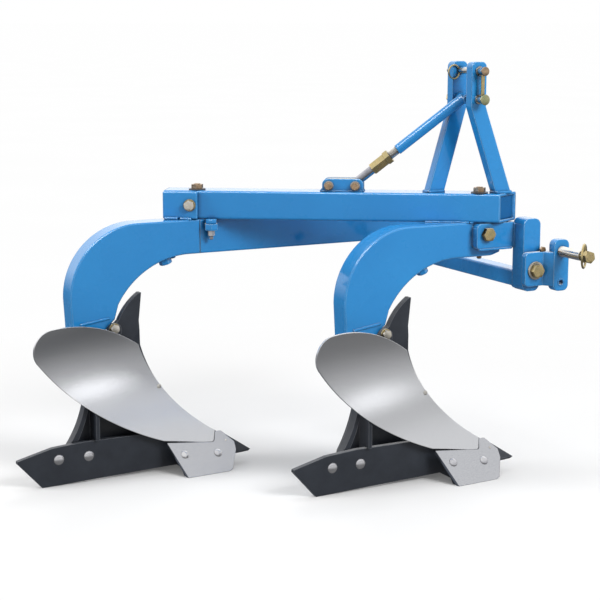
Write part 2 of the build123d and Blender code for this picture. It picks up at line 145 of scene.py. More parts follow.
# long fine scratches in one direction, and the slow change of tone between them
def makeGrain():
    inputs = {"Vector": None, "Turn": None, "Fineness": 900.0, "Length": 0.03}
    tree, source, out = newGroup("steelGrain", inputs, {"Value": "Float", "Patches": "Float"})
    turned = addNode(tree, "ShaderNodeVectorRotate", rotation_type="EULER_XYZ")
    tree.links.new(source.outputs["Vector"], turned.inputs["Vector"])
    tree.links.new(source.outputs["Turn"], turned.inputs["Rotation"])
    parts = addNode(tree, "ShaderNodeSeparateXYZ")
    tree.links.new(turned.outputs[0], parts.inputs[0])
    joined = addNode(tree, "ShaderNodeCombineXYZ")
    tree.links.new(mathNode(tree, "MULTIPLY", parts.outputs[0], source.outputs["Length"]), joined.inputs[0])
    tree.links.new(parts.outputs[1], joined.inputs[1])
    tree.links.new(parts.outputs[2], joined.inputs[2])
    fine = noiseNode(tree, joined.outputs[0], source.outputs["Fineness"], 4.0, 0.65)
    tree.links.new(fine, out.inputs["Value"])
    tree.links.new(noiseNode(tree, source.outputs["Vector"], 9.0, 3.0, 0.5), out.inputs["Patches"])
    return tree


# dust that settles on what faces up
def makeDust():
    tree, source, out = newGroup("settledDust", {"Vector": None, "Amount": 0.3}, {"Mask": "Float"})
    geometry = addNode(tree, "ShaderNodeNewGeometry")
    parts = addNode(tree, "ShaderNodeSeparateXYZ")
    tree.links.new(geometry.outputs["Normal"], parts.inputs[0])
    up = rangeNode(tree, parts.outputs[2], 0.2, 1.0)
    clouds = cloudNode(tree, source.outputs["Vector"], 26.0, 6.0, 0.62, 0.4, 0.7)
    both = mathNode(tree, "MULTIPLY", up, clouds)
    tree.links.new(mathNode(tree, "MULTIPLY", both, source.outputs["Amount"], True), out.inputs["Mask"])
    return tree


# rounded edges and a faint ripple, as one normal
def makeSkin():
    inputs = {"Vector": None, "Radius": 0.002, "Ripple Scale": 300.0, "Ripple": 0.1,
              "Height": 0.0, "Height Share": 0.0}
    tree, source, out = newGroup("skinNormal", inputs, {"Normal": "Vector"})
    bevel = addNode(tree, "ShaderNodeBevel", samples=bevelSamples)
    tree.links.new(source.outputs["Radius"], bevel.inputs["Radius"])
    ripple = addNode(tree, "ShaderNodeBump")
    ripple.inputs["Distance"].default_value = bumpDistance
    tree.links.new(source.outputs["Ripple"], ripple.inputs["Strength"])
    waves = noiseNode(tree, source.outputs["Vector"], source.outputs["Ripple Scale"], 2.0, 0.5)
    tree.links.new(waves, ripple.inputs["Height"])
    tree.links.new(bevel.outputs[0], ripple.inputs["Normal"])
    detail = addNode(tree, "ShaderNodeBump")
    detail.inputs["Distance"].default_value = bumpDistance
    tree.links.new(source.outputs["Height Share"], detail.inputs["Strength"])
    tree.links.new(source.outputs["Height"], detail.inputs["Height"])
    tree.links.new(ripple.outputs[0], detail.inputs["Normal"])
    tree.links.new(detail.outputs[0], out.inputs["Normal"])
    return tree


# painted shade in seams and inner corners: darker where the ambient occlusion closes, broken up in patches
def makePaintedSeamShade():
    tree, source, out = newGroup("paintedSeamShade", {"Vector": None, "Amount": 0.5}, {"Mask": "Float"})
    near = addNode(tree, "ShaderNodeAmbientOcclusion", samples=8)
    near.inputs["Distance"].default_value = seamShadeReach
    closed = rangeNode(tree, near.outputs["AO"], 0.45, 0.90, 1.0, 0.0)
    patchy = cloudNode(tree, source.outputs["Vector"], 40.0, 4.0, 0.6, 0.30, 0.60, 0.7, 1.0)
    both = mathNode(tree, "MULTIPLY", closed, patchy)
    tree.links.new(mathNode(tree, "MULTIPLY", both, source.outputs["Amount"], True), out.inputs["Mask"])
    return tree


edgeWearAndHighlight = makeEdgeWearAndHighlight()
paintedSeamShade = makePaintedSeamShade()
steelGrain = makeGrain()
settledDust = makeDust()
skinNormal = makeSkin()


def startMaterial(name):
    material = bpy.data.materials.new(name)
    material.use_nodes = True
    tree = material.node_tree
    shader = tree.nodes["Principled BSDF"]
    coords = addNode(tree, "ShaderNodeTexCoord").outputs["Object"]
    return material, tree, shader, coords


def useGroup(tree, group, coords, **values):
    node = addNode(tree, "ShaderNodeGroup")
    node.node_tree = group
    tree.links.new(coords, node.inputs["Vector"])
    for key, value in values.items():
        label = key.replace("_", " ")
        if isinstance(value, (int, float, tuple)):
            node.inputs[label].default_value = value
        else:
            tree.links.new(value, node.inputs[label])
    return node


def maskOf(tree, group, coords, **values):
    return useGroup(tree, group, coords, **values).outputs["Mask"]


def makeNormal(tree, shader, coords, radius, scale, ripple, **relief):
    skin = useGroup(tree, skinNormal, coords, Radius=radius, Ripple_Scale=scale, Ripple=ripple, **relief)
    tree.links.new(skin.outputs["Normal"], shader.inputs["Normal"])
    return skin.outputs["Normal"]


# values of each finish
# the paler blue on edges is edge wear and painted edge highlight; the dark seam blue is painted shade in
# seams
paintLook = {"blue": (0.020, 0.252, 0.600), "deepBlue": (0.016, 0.225, 0.555), "clouds": 5.0,
             "rubbedAndHighlight": (0.34, 0.64, 0.92), "edge": 0.0034, "breakUp": 30.0, "wearAndHighlight": 0.80,
             "seam": (0.004, 0.045, 0.130), "seamShade": 0.8,
             "dust": 0.05, "dustTone": (0.55, 0.58, 0.60), "dustRough": 0.3,
             "roughLow": 0.22, "roughHigh": 0.34, "smears": 14.0,
             "shine": 0.15, "coat": 1.0, "coatRough": 0.06, "coatIor": 1.5,
             "round": 0.0062, "peel": 0.030, "peelScale": 110.0}
# the front cap is a darker copy of the frame paint, painted shade for its recess
shadedCapLook = dict(paintLook, blue=(0.002, 0.120, 0.330), deepBlue=(0.002, 0.105, 0.300),
               wearAndHighlight=0.2, coat=0.1, shine=0.1, dust=0.0)
# the board's pale edge tone is edge wear and painted edge highlight
steelLook = {"bright": (0.79, 0.80, 0.825), "dark": (0.70, 0.71, 0.74), "patch": 0.30,
             "turn": (0.0, 0.75, 0.0), "fineness": 900.0, "length": 0.03, "grain": 0.03,
             "speckle": 0.05, "speckScale": 520.0, "speckTone": (0.30, 0.31, 0.33),
             "edge": 0.0022, "breakUp": 20.0, "edgeShadingTone": (0.95, 0.95, 0.95),
             "roughLow": 0.21, "roughHigh": 0.27, "ripple": 0.15, "rippleScale": 10.0}
# the share's dark edge tone is painted shade along its rims
shareLook = dict(steelLook, bright=(0.68, 0.69, 0.72), dark=(0.58, 0.59, 0.63), turn=(0.0, 0.1, 0.0),
                 grain=0.06, speckle=0.35, edgeShadingTone=(0.26, 0.27, 0.30))
# the pale grey on edges is edge wear and painted edge highlight
blackLook = {"body": (0.019, 0.0225, 0.030), "lighter": (0.029, 0.034, 0.044), "clouds": 16.0,
             "rubbedAndHighlight": (0.24, 0.25, 0.27), "edge": 0.003, "breakUp": 60.0, "wearAndHighlight": 0.65,
             "dust": 0.10, "dustTone": (0.4, 0.4, 0.4),
             "roughLow": 0.32, "roughHigh": 0.46, "smears": 60.0, "ripple": 0.16, "rippleScale": 500.0}
# the pale edge tone is edge wear and painted edge highlight; the dark seam tone is painted shade in seams
goldLook = {"main": (0.80, 0.63, 0.30), "other": (0.58, 0.50, 0.27), "clouds": 60.0,
            "blush": (0.86, 0.60, 0.44), "blushScale": 110.0, "blushShare": 0.5,
            "edge": 0.0007, "breakUp": 90.0, "wearAndHighlight": 0.8, "edgeShadingTone": (0.95, 0.92, 0.84),
            "seamShade": 0.85, "seamShadeTone": (0.05, 0.04, 0.03),
            "roughLow": 0.15, "roughHigh": 0.30, "smears": 300.0, "ripple": 0.03, "rippleScale": 260.0}
copperLook = dict(goldLook, main=(0.78, 0.54, 0.33), other=(0.44, 0.32, 0.22), blush=(0.92, 0.74, 0.58))
paleLook = dict(goldLook, main=(0.93, 0.89, 0.82), other=(0.82, 0.77, 0.66), blush=(0.90, 0.72, 0.60),
                roughLow=0.13, roughHigh=0.28)
greenLook = dict(goldLook, main=(0.46, 0.52, 0.28), other=(0.66, 0.60, 0.36), blush=(0.56, 0.46, 0.34),
                 roughLow=0.21, roughHigh=0.36)
# the dark seam tone is painted shade in seams
pinLook = {"bright": (0.80, 0.78, 0.74), "dark": (0.62, 0.60, 0.56), "clouds": 40.0,
           "seamShade": 0.8, "seamShadeTone": (0.05, 0.05, 0.05),
           "roughLow": 0.16, "roughHigh": 0.32, "smears": 120.0, "ripple": 0.03, "rippleScale": 220.0}
sleeveLook = dict(pinLook, bright=(0.94, 0.91, 0.86), dark=(0.84, 0.79, 0.70), roughLow=0.14, roughHigh=0.30)
rodLook = dict(pinLook, bright=(0.52, 0.52, 0.56), dark=(0.36, 0.36, 0.40), roughLow=0.18, roughHigh=0.34)
chromeLook = dict(pinLook, bright=(0.86, 0.86, 0.88), dark=(0.66, 0.66, 0.70), roughLow=0.10, roughHigh=0.26)


def makePaint(name, look):
    material, tree, shader, coords = startMaterial(name)
    slow = cloudNode(tree, coords, look["clouds"], 3.0, 0.5)
    tone = mixColor(tree, slow, look["blue"], look["deepBlue"])
    # edge wear and painted edge highlight: a paler blue on rounded edges
    wearAndHighlight = maskOf(tree, edgeWearAndHighlight, coords, Radius=look["edge"], Break_Up=look["breakUp"])
    wornAndHighlit = mixColor(tree, mathNode(tree, "MULTIPLY", wearAndHighlight, look["wearAndHighlight"]), tone, look["rubbedAndHighlight"])
    # painted shade: darker blue in seams and corners
    seamShade = maskOf(tree, paintedSeamShade, coords, Amount=look["seamShade"])
    seamShaded = mixColor(tree, seamShade, wornAndHighlit, look["seam"])
    dust = maskOf(tree, settledDust, coords, Amount=look["dust"])
    tree.links.new(mixColor(tree, dust, seamShaded, look["dustTone"]), shader.inputs["Base Color"])
    smear = smearNode(tree, coords, look, 3.0, 0.5)
    dulled = mathNode(tree, "MULTIPLY", dust, look["dustRough"])
    tree.links.new(mathNode(tree, "ADD", smear, dulled), shader.inputs["Roughness"])
    shader.inputs["Specular IOR Level"].default_value = look["shine"]
    shader.inputs["Coat Weight"].default_value = look["coat"]
    shader.inputs["Coat Roughness"].default_value = look["coatRough"]
    shader.inputs["Coat IOR"].default_value = look["coatIor"]
    skin = makeNormal(tree, shader, coords, look["round"], look["peelScale"], look["peel"])
    tree.links.new(skin, shader.inputs["Coat Normal"])
    return material


def makeWorkedSteel(name, look):
    material, tree, shader, coords = startMaterial(name)
    brushing = {"Turn": look["turn"], "Fineness": look["fineness"], "Length": look["length"]}
    grain = useGroup(tree, steelGrain, coords, **brushing)
    lines = rangeNode(tree, grain.outputs["Value"], 0.3, 0.7)
    base = mixColor(tree, lines, look["dark"], look["bright"])
    patches = rangeNode(tree, grain.outputs["Patches"], 0.3, 0.7)
    toned = mixColor(tree, mathNode(tree, "MULTIPLY", patches, look["patch"]), base, look["bright"])
    specks = cloudNode(tree, coords, look["speckScale"], 2.0, 0.5, 0.60, 0.72)
    specked = mixColor(tree, mathNode(tree, "MULTIPLY", specks, look["speckle"]), toned, look["speckTone"])
    # the edge mask lightens the board's edges, edge wear and painted highlight, and darkens the share's,
    # painted shade
    edge = maskOf(tree, edgeWearAndHighlight, coords, Radius=look["edge"], Break_Up=look["breakUp"])
    tree.links.new(mixColor(tree, edge, specked, look["edgeShadingTone"]), shader.inputs["Base Color"])
    shader.inputs["Metallic"].default_value = 1.0
    rough = rangeNode(tree, grain.outputs["Value"], 0.3, 0.7, look["roughHigh"], look["roughLow"])
    tree.links.new(rough, shader.inputs["Roughness"])
    relief = {"Height": grain.outputs["Value"], "Height_Share": look["grain"]}
    makeNormal(tree, shader, coords, look["edge"], look["rippleScale"], look["ripple"], **relief)
    return material


def makeBlack(name, look):
    material, tree, shader, coords = startMaterial(name)
    slow = cloudNode(tree, coords, look["clouds"], 5.0, 0.6)
    tone = mixColor(tree, slow, look["body"], look["lighter"])
    # edge wear and painted edge highlight: pale grey on rounded edges
    wearAndHighlight = maskOf(tree, edgeWearAndHighlight, coords, Radius=look["edge"], Break_Up=look["breakUp"])
    wornAndHighlit = mixColor(tree, mathNode(tree, "MULTIPLY", wearAndHighlight, look["wearAndHighlight"]), tone, look["rubbedAndHighlight"])
    dust = maskOf(tree, settledDust, coords, Amount=look["dust"])
    tree.links.new(mixColor(tree, dust, wornAndHighlit, look["dustTone"]), shader.inputs["Base Color"])
    tree.links.new(smearNode(tree, coords, look, 4.0, 0.6), shader.inputs["Roughness"])
    makeNormal(tree, shader, coords, look["edge"], look["rippleScale"], look["ripple"])
    return material


# the roughness and the ripple of a small metal part that is neither brushed nor painted
def finishMetal(tree, shader, coords, look):
    shader.inputs["Metallic"].default_value = 1.0
    smear = smearNode(tree, coords, look, 3.0, 0.5)
    tree.links.new(smear, shader.inputs["Roughness"])
    makeNormal(tree, shader, coords, 0.0, look["rippleScale"], look["ripple"])


def makeZinc(name, look):
    material, tree, shader, coords = startMaterial(name)
    slow = cloudNode(tree, coords, look["clouds"], 4.0, 0.6, 0.35, 0.65)
    tone = mixColor(tree, slow, look["main"], look["other"])
    blush = cloudNode(tree, coords, look["blushScale"], 2.0, 0.5, 0.58, 0.74)
    tinted = mixColor(tree, mathNode(tree, "MULTIPLY", blush, look["blushShare"]), tone, look["blush"])
    # edge wear and painted edge highlight: paler on the edges
    edge = maskOf(tree, edgeWearAndHighlight, coords, Radius=look["edge"], Break_Up=look["breakUp"])
    lit = mixColor(tree, mathNode(tree, "MULTIPLY", edge, look["wearAndHighlight"]), tinted, look["edgeShadingTone"])
    # painted shade: darker in seams and corners
    seamShade = maskOf(tree, paintedSeamShade, coords, Amount=look["seamShade"])
    tree.links.new(mixColor(tree, seamShade, lit, look["seamShadeTone"]), shader.inputs["Base Color"])
    finishMetal(tree, shader, coords, look)
    return material


def makePlainSteel(name, look):
    material, tree, shader, coords = startMaterial(name)
    slow = cloudNode(tree, coords, look["clouds"], 4.0, 0.6, 0.35, 0.7)
    # painted shade: darker in seams and corners
    seamShade = maskOf(tree, paintedSeamShade, coords, Amount=look["seamShade"])
    tone = mixColor(tree, slow, look["bright"], look["dark"])
    tree.links.new(mixColor(tree, seamShade, tone, look["seamShadeTone"]), shader.inputs["Base Color"])
    finishMetal(tree, shader, coords, look)
    return material


blue = makePaint("frameBlue", paintLook)
boardSteel = makeWorkedSteel("boardSteel", steelLook)
shareSteel = makeWorkedSteel("shareSteel", shareLook)
black = makeBlack("bodyBlack", blackLook)
zinc = makeZinc("yellowZinc", goldLook)
copper = makeZinc("copperZinc", copperLook)
pale = makeZinc("paleZinc", paleLook)
greenish = makeZinc("greenZinc", greenLook)
chrome = makePlainSteel("brightSteel", chromeLook)
pinSteel = makePlainSteel("pinSteel", pinLook)
sleeveSteel = makePlainSteel("sleeveSteel", sleeveLook)
slotLooks = {"frame_paint": blue, "cap_black": black, "worked_steel": boardSteel, "body_black": black,
             "pin_steel": pinSteel, "zinc_yellow": zinc}
nodeLooks = {"front_share": shareSteel, "rear_share": shareSteel,
             "main_beam_front_cap": makePaint("capShadedBlue", shadedCapLook),
             "brace_rod": makePlainSteel("rodSteel", rodLook), "brace_stud": sleeveSteel,
             "left_link_sleeve": sleeveSteel, "right_link_sleeve": sleeveSteel,
             "left_link_pin": zinc, "right_link_pin": zinc}
for entry in frame["record"]["subparts"]:
    node = nodes[entry["node"]]
    node.data.materials.clear()
    node.data.materials.append(nodeLooks.get(entry["node"], slotLooks[entry["material_slot"]]))
print("stage: materials done")


# making, shading and joining pieces
def takeObject(name):
    piece = bpy.context.active_object
    piece.name = name
    piece.data.name = name
    return piece


def deselectAll():
    for other in bpy.context.selected_objects:
        other.select_set(False)


def pickOnly(piece):
    deselectAll()
    piece.select_set(True)
    bpy.context.view_layer.objects.active = piece


def applyModifier(piece, modifier):
    pickOnly(piece)
    bpy.ops.object.modifier_apply(modifier=modifier.name)


def bakePlace(piece):
    piece.data.transform(piece.matrix_world)
    piece.matrix_world = Matrix.Identity(4)


def softenEdges(piece, width):
    modifier = piece.modifiers.new("soften", "BEVEL")
    modifier.width = width
    modifier.segments = 2
    modifier.limit_method = "ANGLE"
    modifier.angle_limit = math.radians(35)
    applyModifier(piece, modifier)


def standOn(piece, place, axis):
    facing = Vector(axis).normalized().to_track_quat("Z", "Y").to_matrix().to_4x4()
    piece.data.transform(Matrix.Translation(Vector(place)) @ facing)


def joinPieces(parts, name):
    deselectAll()
    for part in parts:
        part.select_set(True)
    bpy.context.view_layer.objects.active = parts[0]
    if len(parts) > 1:
        bpy.ops.object.join()
    piece = takeObject(name)
    bpy.ops.object.shade_smooth_by_angle(angle=math.radians(32))
    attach(piece, "root")
    return piece


def roundBar(radius, low, high, sides=40, soften=0.0):
    deselectAll()
    middle = (0, 0, (low + high) / 2)
    bpy.ops.mesh.primitive_cylinder_add(vertices=sides, radius=radius, depth=high - low, location=middle)
    part = bpy.context.active_object
    bakePlace(part)
    if soften:
        softenEdges(part, soften)
    return part


def standPart(part, name, place, axis, material):
    standOn(part, place, axis)
    part.data.materials.append(material)
    return joinPieces([part], name)


# shares of the bolt's radius, and the slope of the cone that turns off its corners
headLook = {"flat": 0.90, "slope": 1.732, "coneTall": 1.2, "washer": 0.20, "washerSoft": 0.0005,
            "stub": 0.52, "stubSoft": 0.0012, "stubSunk": 0.001}


def hexHead(radius, high):
    # a hexagon whose top corners are turned off by a flat cone
    part = roundBar(radius, 0.0, high, 6)
    deselectAll()
    tall = high * headLook["coneTall"]
    flat = radius * headLook["flat"]
    wide = flat + tall * headLook["slope"]
    bpy.ops.mesh.primitive_cone_add(vertices=48, radius1=wide, radius2=flat, depth=tall)
    cone = bpy.context.active_object
    bakePlace(cone)
    cone.data.transform(Matrix.Translation((0, 0, high - tall / 2)))
    cut = part.modifiers.new("cone", "BOOLEAN")
    cut.operation = "INTERSECT"
    cut.solver = "EXACT"
    cut.object = cone
    applyModifier(part, cut)
    bpy.data.objects.remove(cone)
    return part


boltMaster = {}


def hexBolt(name, place, axis, size, material, washer=None, stub=0.0, turn=0.3, tall=0.72, spread=1.28):
    # size is the distance between the corners of the head
    radius = size / 2
    thick = 0.0
    parts = []
    if washer:
        thick = radius * headLook["washer"]
        parts.append(roundBar(radius * spread, 0.0, thick, 48, headLook["washerSoft"]))
        parts[0].data.materials.append(washer)
    key = (round(size, 5), round(tall, 3))
    if key not in boltMaster:
        head = hexHead(radius, radius * tall)
        boltMaster[key] = head.data.copy()
    else:
        head = bpy.data.objects.new("head", boltMaster[key].copy())
        bpy.context.scene.collection.objects.link(head)
    parts.append(head)
    head.data.transform(Matrix.Translation((0, 0, thick)) @ Matrix.Rotation(turn, 4, "Z"))
    if stub:
        top = thick + radius * tall
        low = top - headLook["stubSunk"]
        parts.append(roundBar(radius * headLook["stub"], low, top + stub, 32, headLook["stubSoft"]))
    for part in parts:
        standOn(part, place, axis)
        if not part.data.materials:
            part.data.materials.append(material)
    return joinPieces(parts, name)


rimLook = {"wider": 1.04, "half": 0.0006, "soften": 0.0003}


def domeRivet(name, place, axis, size, rise, material):
    # the upper half of a ball, flattened, on a thin rim
    deselectAll()
    bpy.ops.mesh.primitive_uv_sphere_add(segments=40, ring_count=20, radius=1.0)
    part = bpy.context.active_object
    bpy.ops.object.mode_set(mode="EDIT")
    bpy.ops.mesh.select_all(action="DESELECT")
    cage = bmesh.from_edit_mesh(part.data)
    bmesh.ops.delete(cage, geom=[v for v in cage.verts if v.co.z < -0.02], context="VERTS")
    for vert in cage.verts:
        vert.co.x *= size / 2
        vert.co.y *= size / 2
        vert.co.z *= rise
    bmesh.update_edit_mesh(part.data)
    bpy.ops.object.mode_set(mode="OBJECT")
    rim = roundBar(size / 2 * rimLook["wider"], -rimLook["half"], rimLook["half"], 40, rimLook["soften"])
    for item in (part, rim):
        standOn(item, place, axis)
        item.data.materials.append(material)
    return joinPieces([part, rim], name)


def cageToPiece(name, cage, material):
    bmesh.ops.recalc_face_normals(cage, faces=cage.faces)
    mesh = bpy.data.meshes.new(name)
    cage.to_mesh(mesh)
    cage.free()
    mesh.materials.append(material)
    piece = bpy.data.objects.new(name, mesh)
    bpy.context.scene.collection.objects.link(piece)
    return piece


def circlePoints(sides):
    angles = [2 * math.pi * k / sides for k in range(sides)]
    return [(math.cos(angle), math.sin(angle)) for angle in angles]


weldLook = {"ripple": 0.0034, "sides": 8, "frame": 0.0042, "small": 0.0030, "ends": 0.35,
            "thin": 0.86, "swell": 0.20, "wander": 0.06, "wanderPace": 0.7}


def weldBead(name, points, radius, material, seed):
    # a row of lapped ripples along the seam
    points = [Vector(p) for p in points]
    ripple = weldLook["ripple"]
    rings = []
    travelled = 0.0
    for first, second in zip(points, points[1:]):
        length = (second - first).length
        steps = max(2, int(length / (ripple / 3)))
        for step in range(steps + 1):
            if rings and step == 0:
                continue
            share = step / steps
            phase = (travelled + share * length) / ripple
            wander = weldLook["wander"] * math.sin(phase * weldLook["wanderPace"] + seed)
            swell = weldLook["thin"] + weldLook["swell"] * abs(math.sin(math.pi * phase)) + wander
            rings.append((first.lerp(second, share), (second - first).normalized(), radius * swell))
        travelled += length
    for end in (0, -1):
        centre, along, size = rings[end]
        rings[end] = (centre, along, size * weldLook["ends"])
    bead = bmesh.new()
    loops = []
    for centre, along, size in rings:
        side = along.orthogonal().normalized()
        other = along.cross(side).normalized()
        spots = [centre + side * (size * x) + other * (size * y) for x, y in circlePoints(weldLook["sides"])]
        loops.append([bead.verts.new(spot) for spot in spots])
    for low, high in zip(loops, loops[1:]):
        for k in range(len(low)):
            after = (k + 1) % len(low)
            bead.faces.new((low[k], low[after], high[after], high[k]))
    bead.faces.new(list(reversed(loops[0])))
    bead.faces.new(loops[-1])
    piece = cageToPiece(name, bead, material)
    pickOnly(piece)
    bpy.ops.object.shade_smooth()
    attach(piece, "root")
    return piece


threadLook = {"sides": 32, "root": 0.90, "rise": 0.35, "fall": 0.55, "tip": 0.62, "tipTall": 0.25}


def threadedStub(name, place, axis, radius, length, pitch, material):
    # ridges turned on a bar, with a short cone at the far end
    root = radius * threadLook["root"]
    top = length + radius * threadLook["tipTall"]
    ridges = max(2, int(length / pitch))
    step = length / ridges
    profile = [(0.0, 0.0)]
    for k in range(ridges):
        low = k * step
        crest = (low + threadLook["rise"] * step, low + threadLook["fall"] * step)
        profile += [(root, low), (radius, crest[0]), (radius, crest[1])]
    profile += [(root, length), (radius * threadLook["tip"], top), (0.0, top)]
    sides = threadLook["sides"]
    turned = bmesh.new()
    loops = []
    for reach, high in profile:
        circle = circlePoints(sides) if reach else [(0.0, 0.0)]
        loops.append([turned.verts.new((reach * x, reach * y, high)) for x, y in circle])
    for low, high in zip(loops, loops[1:]):
        for k in range(sides):
            after = k + 1
            ring = [low[k % len(low)], low[after % len(low)], high[after % len(high)], high[k % len(high)]]
            turned.faces.new(list(dict.fromkeys(ring)))
    piece = cageToPiece(name, turned, material)
    standOn(piece, place, axis)
    pickOnly(piece)
    bpy.ops.object.shade_smooth_by_angle(angle=math.radians(20))
    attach(piece, "root")
    return piece


# places are told from the corners of a node's box
right = Vector((0, -1, 0))
left = Vector((0, 1, 0))
up = Vector((0, 0, 1))
down = Vector((0, 0, -1))
bothSides = (("right", 1), ("left", -1))


def fromLow(name, place):
    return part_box(name)[0] + Vector(place)


def middleOf(name):
    low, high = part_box(name)
    return (low + high) / 2


def mirrorY(place, mirror):
    return Vector((place.x, place.y * mirror, place.z))


def seam(corner, *places):
    return [corner + Vector(place) for place in places]


# the beam runs to the front and the right; places on it are along, across and up
beamLook = {"turn": math.radians(33), "start": (-0.172, 0.178, 0), "wide": 0.080}
beamAlong = Vector((math.cos(beamLook["turn"]), -math.sin(beamLook["turn"]), 0))
beamAcross = Vector((math.sin(beamLook["turn"]), math.cos(beamLook["turn"]), 0))
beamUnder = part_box("main_beam")[0].z
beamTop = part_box("main_beam")[1].z


def onBeam(along, across, z):
    return Vector(beamLook["start"]) + beamAlong * along + beamAcross * across + up * z


# bolts of the beam and the hitch
boltLook = {"beamTop": 0.034, "side": 0.030, "clevis": 0.023, "body": 0.026, "bracket": 0.038,
            "underArm": 0.030, "small": 0.018, "pinHead": 0.034, "pinHeadSunk": 0.0176,
            "bracePin": 0.026, "bracePinSunk": 0.012}
topBolt = {"size": boltLook["beamTop"], "material": copper, "washer": black, "stub": 0.002, "spread": 1.35}
beamPlaces = {"rear": (0.005, 0.026, beamTop), "front": (0.775, 0.022, beamTop),
              "side": (-0.0094, -0.016, beamUnder + 0.0397)}
hexBolt("beamTopBoltRear", onBeam(*beamPlaces["rear"]), up, turn=0.45, **topBolt)
hexBolt("beamTopBoltFront", onBeam(*beamPlaces["front"]), up, turn=0.20, **topBolt)
sideAt = onBeam(*beamPlaces["side"])
hexBolt("rearPlateBolt", sideAt, -beamAcross, boltLook["side"], pale, zinc, turn=0.15, spread=1.10)
hitchPlaces = {"armBolt": fromLow("right_arm_plate", (0.0330, 0.0, 0.0414)),
               "bracketBolt": fromLow("right_link_bracket", (0.0332, 0.0255, 0.0568)),
               "notchBolt": fromLow("right_link_bracket", (0.0592, 0.0335, 0.1113)),
               "underNut": fromLow("right_arm_plate", (0.0457, 0.057, -0.012)),
               "underStub": fromLow("right_arm_plate", (0.0457, 0.057, -0.020))}
stubLook = {"arm": {"radius": 0.007, "length": 0.012, "pitch": 0.002},
            "boss": {"radius": 0.0055, "length": 0.010, "pitch": 0.0016},
            "stud": {"radius": 0.0115, "length": 0.052, "pitch": 0.0026}}
studBack = 0.030
for side, mirror in bothSides:
    outward = right * mirror
    spots = {key: mirrorY(place, mirror) for key, place in hitchPlaces.items()}
    hexBolt(side + "ArmPlateBolt", spots["armBolt"], outward, boltLook["bracket"], zinc, turn=0.52)
    hexBolt(side + "BracketBolt", spots["bracketBolt"], outward, boltLook["bracket"], zinc, pale, turn=0.52)
    hexBolt(side + "NotchBolt", spots["notchBolt"], outward, boltLook["small"], copper)
    hexBolt(side + "ArmUnderNut", spots["underNut"], down, boltLook["underArm"], blue, tall=0.6)
    threadedStub(side + "ArmUnderStub", spots["underStub"], down, material=copper, **stubLook["arm"])
    pinAt = middleOf(side + "_link_pin")
    pinLow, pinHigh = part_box(side + "_link_pin")
    pinAt.y = (pinLow.y if side == "right" else pinHigh.y) + boltLook["pinHeadSunk"] * mirror
    hexBolt(side + "PinHead", pinAt, outward, boltLook["pinHead"], zinc, turn=0.2, tall=1.0)

clevisLook = {"across": 0.0167, "rear": 0.368, "front": 0.440, "bolt": 0.016,
              "weldPast": 0.021, "weldIn": 0.010, "weldTurn": 0.001, "weldUp": 0.0015,
              "eyeRadius": 0.012, "eyeHalf": 0.011, "eyeUp": 0.0225, "eyeSoft": 0.001,
              "plank": (0.024, 0.072, 0.022), "plankSoft": 0.0012}
clevisFar = beamLook["wide"] - clevisLook["across"]
for name, along in (("clevisBoltRear", clevisLook["rear"]), ("clevisBoltFront", clevisLook["front"])):
    nearAt = onBeam(along, clevisLook["across"], beamTop + clevisLook["bolt"])
    farAt = onBeam(along, clevisFar, beamTop + clevisLook["bolt"])
    hexBolt(name, nearAt, -beamAcross, boltLook["clevis"], copper, pinSteel, turn=0.3, spread=1.15)
    hexBolt(name + "Nut", farAt, beamAcross, boltLook["clevis"], zinc, zinc, 0.004, turn=0.1)

# round boss with its nuts, hanging under the beam beside the rear shank
bossLook = {"radius": 0.015, "under": 0.011, "sunk": 0.002, "soften": 0.0015,
            "nutSize": 0.038, "brightSize": 0.020, "brightUnder": 0.0291, "stubUnder": 0.0435}
bossAt = fromLow("left_rail", (0.0250, -0.0180, 0.0))
bossAt.z = 0.0
bossLow, bossHigh = beamUnder - bossLook["under"], beamUnder + bossLook["sunk"]
boss = roundBar(bossLook["radius"], bossLow, bossHigh, 40, bossLook["soften"])
boss.data.transform(Matrix.Translation(bossAt))
boss.data.materials.append(blue)
joinPieces([boss], "underBeamBoss")
bossAt.z = beamUnder
nutAt = bossAt + down * bossLook["under"]
brightAt = bossAt + down * bossLook["brightUnder"]
stubAt = bossAt + down * bossLook["stubUnder"]
hexBolt("underBeamNut", nutAt, down, bossLook["nutSize"], blue, tall=0.95, turn=0.35)
hexBolt("underBeamBrightNut", brightAt, down, bossLook["brightSize"], chrome, tall=1.5, turn=0.2)
threadedStub("underBeamStub", stubAt, down, material=chrome, **stubLook["boss"])
# nuts under the curved arms
armNuts = {"rearArmNut": {"place": fromLow("rear_shank", (0.2800, 0.032, 0.253)),
                          "axis": (0.30, 0, -0.95), "size": 0.036, "tall": 1.15},
           "rearArmSmallNut": {"place": fromLow("rear_shank", (0.3049, 0.032, 0.260)),
                               "axis": (0.25, 0, -0.97), "size": 0.014, "tall": 1.8},
           "frontArmNut": {"place": fromLow("front_shank", (0.2479, 0.032, 0.239)),
                           "axis": (0.42, 0, -0.91), "size": 0.032, "tall": 1.2}}
for name, look in armNuts.items():
    hexBolt(name, material=blue, turn=0.4, **look)
